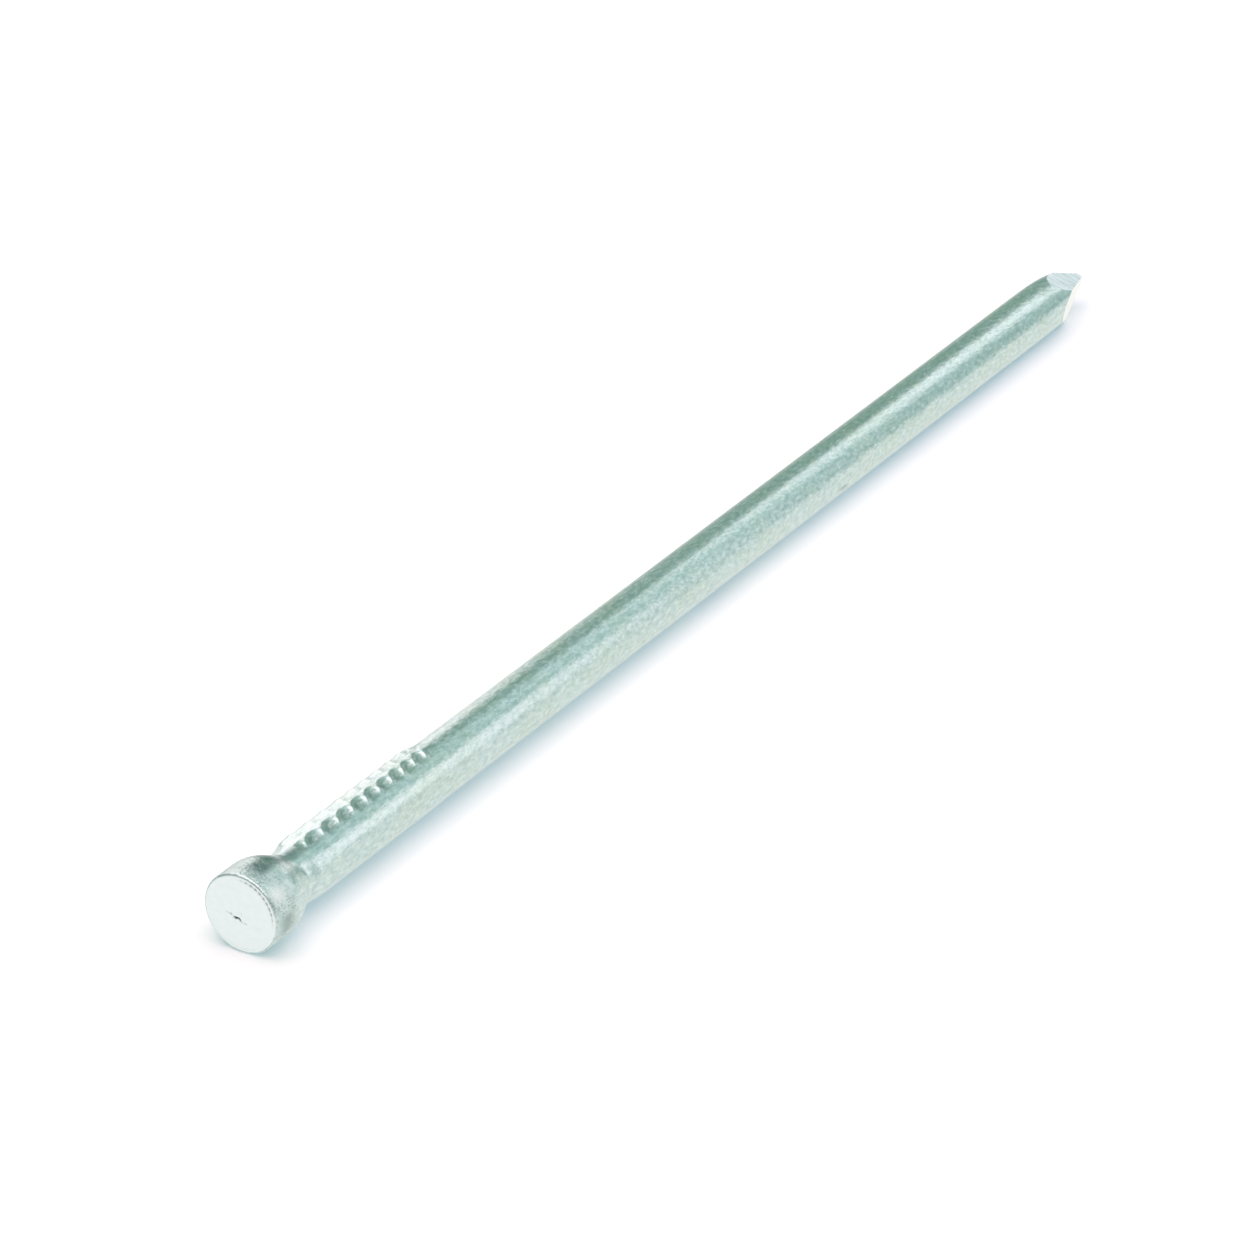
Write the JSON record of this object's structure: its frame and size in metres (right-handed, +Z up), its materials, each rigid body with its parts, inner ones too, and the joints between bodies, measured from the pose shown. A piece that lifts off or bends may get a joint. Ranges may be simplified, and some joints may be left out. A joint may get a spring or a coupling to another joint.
{
  "type": "nail",
  "caption": "Long lost-head wire nail in zinc-plated steel, with a small bell-shaped head, cross grip ridges behind it and a diamond point, lying on its side.",
  "frame": {"origin": "on the table, below the middle of the nail as it lies", "axes": "+X runs from the head to the point, +Z is up from the table"},
  "size_m": [0.12, 0.0058, 0.0058],
  "materials": {
    "zinc_plated_steel": "bright zinc plating on drawn steel wire, with faint draw lines and a grainy pressed head"
  },
  "bodies": {
    "root": {"nail": "zinc_plated_steel"}
  },
  "joints": []
}
